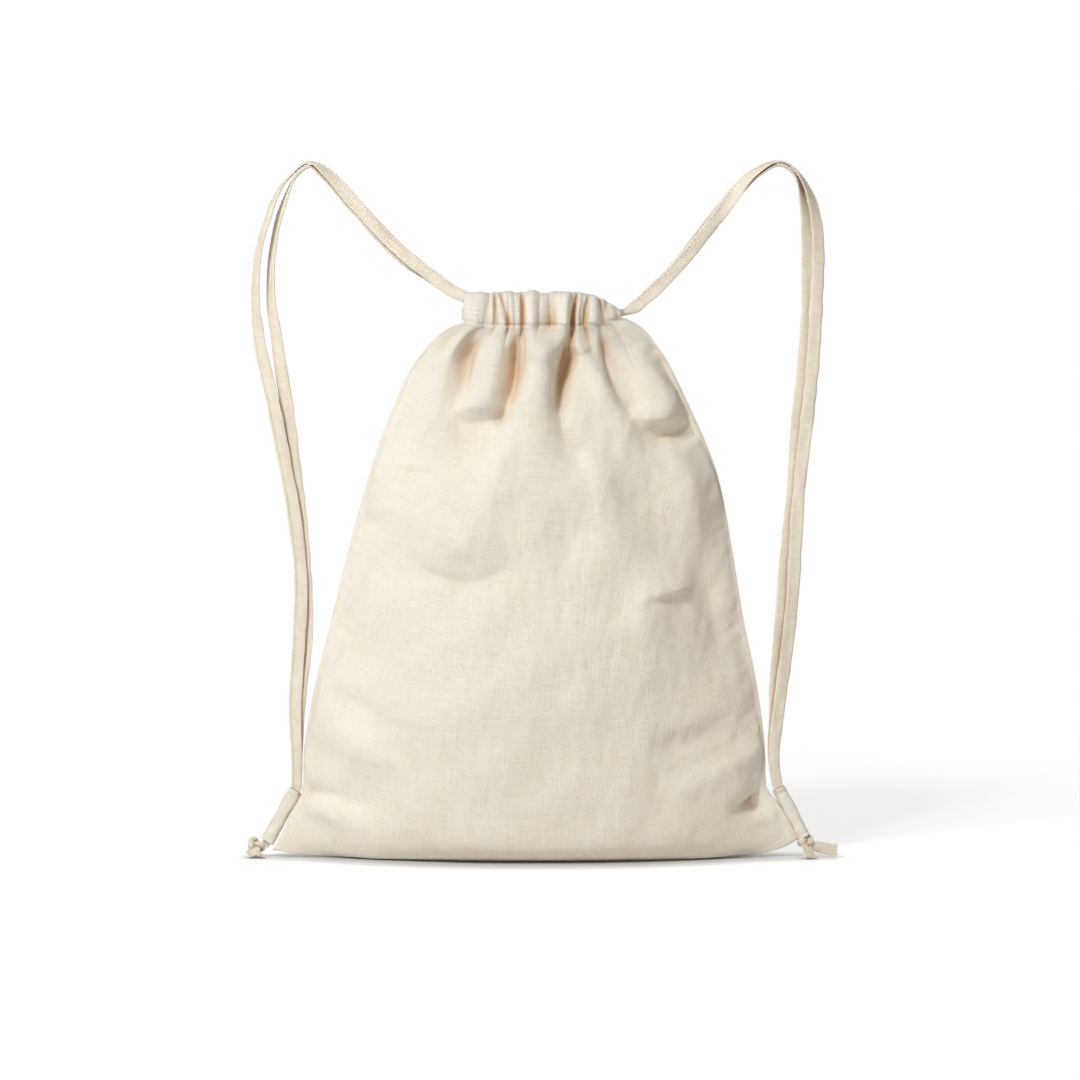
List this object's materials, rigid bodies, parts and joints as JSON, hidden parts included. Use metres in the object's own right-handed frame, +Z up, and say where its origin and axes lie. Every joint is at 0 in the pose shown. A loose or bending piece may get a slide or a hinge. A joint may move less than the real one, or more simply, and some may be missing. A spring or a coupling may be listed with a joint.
{
  "type": "drawstring backpack",
  "caption": "Stuffed drawstring backpack in plain canvas, gathered at the mouth by two flat cords that double as shoulder straps and knot below a sewn tab at each lower corner.",
  "frame": {"origin": "middle of the bottom seam, on the floor that the filled bag stands on", "axes": "+Z up, +X towards the bag's right in front view, -Y towards the front"},
  "size_m": [0.4151, 0.1242, 0.4829],
  "materials": {
    "canvas": "matt natural cotton canvas, plain weave",
    "seam_edge": "matt cotton canvas, raw sewn edge",
    "cord": "matt folded cotton tape with a topstitched edge",
    "thread": "matt spun cotton thread"
  },
  "bodies": {
    "bag": {"front_panel": "canvas", "back_panel": "canvas", "left_side_seam": "seam_edge", "right_side_seam": "seam_edge", "bottom_seam": "seam_edge", "left_seam_stitches": "thread", "right_seam_stitches": "thread", "bottom_seam_stitches": "thread", "left_cord_turn": "cord", "right_cord_turn": "cord"},
    "front_lip": {"front_neck": "canvas", "front_casing": "canvas", "front_casing_stitches": "thread", "left_cord_front_run": "cord", "right_cord_front_run": "cord"},
    "back_lip": {"back_neck": "canvas", "back_casing": "canvas", "back_casing_stitches": "thread", "left_cord_back_run": "cord", "right_cord_back_run": "cord"},
    "left_strap": {"left_front_strand": "cord", "left_back_strand": "cord"},
    "right_strap": {"right_front_strand": "cord", "right_back_strand": "cord"},
    "left_sleeve": {"left_tab": "canvas", "left_tab_stitches": "thread", "left_tab_cords": "cord"},
    "right_sleeve": {"right_tab": "canvas", "right_tab_stitches": "thread", "right_tab_cords": "cord"},
    "left_end": {"left_knot": "cord", "left_tails": "cord"},
    "right_end": {"right_knot": "cord", "right_tails": "cord"}
  },
  "joints": [
    {"name": "mouth_front", "type": "hinge", "parent": "bag", "child": "front_lip", "pos_m": [0, -0.03487, 0.305], "axis": [1, 0, 0], "range_deg": [0, 22], "stiffness_Nm_per_rad": 0.05},
    {"name": "mouth_back", "type": "hinge", "parent": "bag", "child": "back_lip", "pos_m": [0, 0.03487, 0.305], "axis": [1, 0, 0], "range_deg": [-22, 0], "stiffness_Nm_per_rad": 0.05},
    {"name": "left_strap_swing", "type": "hinge", "parent": "bag", "child": "left_strap", "pos_m": [-0.0557, 0, 0.3862], "axis": [0.3162, 0, 0.9487], "range_deg": [-60, 60], "stiffness_Nm_per_rad": 0.02},
    {"name": "right_strap_swing", "type": "hinge", "parent": "bag", "child": "right_strap", "pos_m": [0.0613, 0, 0.3758], "axis": [-0.307, 0, 0.9517], "range_deg": [-60, 60], "stiffness_Nm_per_rad": 0.02},
    {"name": "left_tab_flex", "type": "hinge", "parent": "left_strap", "child": "left_sleeve", "pos_m": [-0.1751, 0, 0.028], "axis": [0.3162, 0, 0.9487], "range_deg": [-48, 48]},
    {"name": "right_tab_flex", "type": "hinge", "parent": "right_strap", "child": "right_sleeve", "pos_m": [0.1735, 0, 0.028], "axis": [-0.307, 0, 0.9517], "range_deg": [-48, 48]},
    {"name": "left_knot_twist", "type": "hinge", "parent": "left_sleeve", "child": "left_end", "pos_m": [-0.1955, 0, 0.00795], "axis": [0.5299, 0, 0.848], "range_deg": [-30, 30], "stiffness_Nm_per_rad": 0.002},
    {"name": "right_knot_twist", "type": "hinge", "parent": "right_sleeve", "child": "right_end", "pos_m": [0.1885, 0, 0.00795], "axis": [-0.4226, 0, 0.9063], "range_deg": [-30, 30], "stiffness_Nm_per_rad": 0.002}
  ],
  "couplings": [
    {"joint": "mouth_back", "follows": "mouth_front", "ratio": -1},
    {"joint": "left_tab_flex", "follows": "left_strap_swing", "ratio": -0.8},
    {"joint": "right_tab_flex", "follows": "right_strap_swing", "ratio": -0.8}
  ]
}
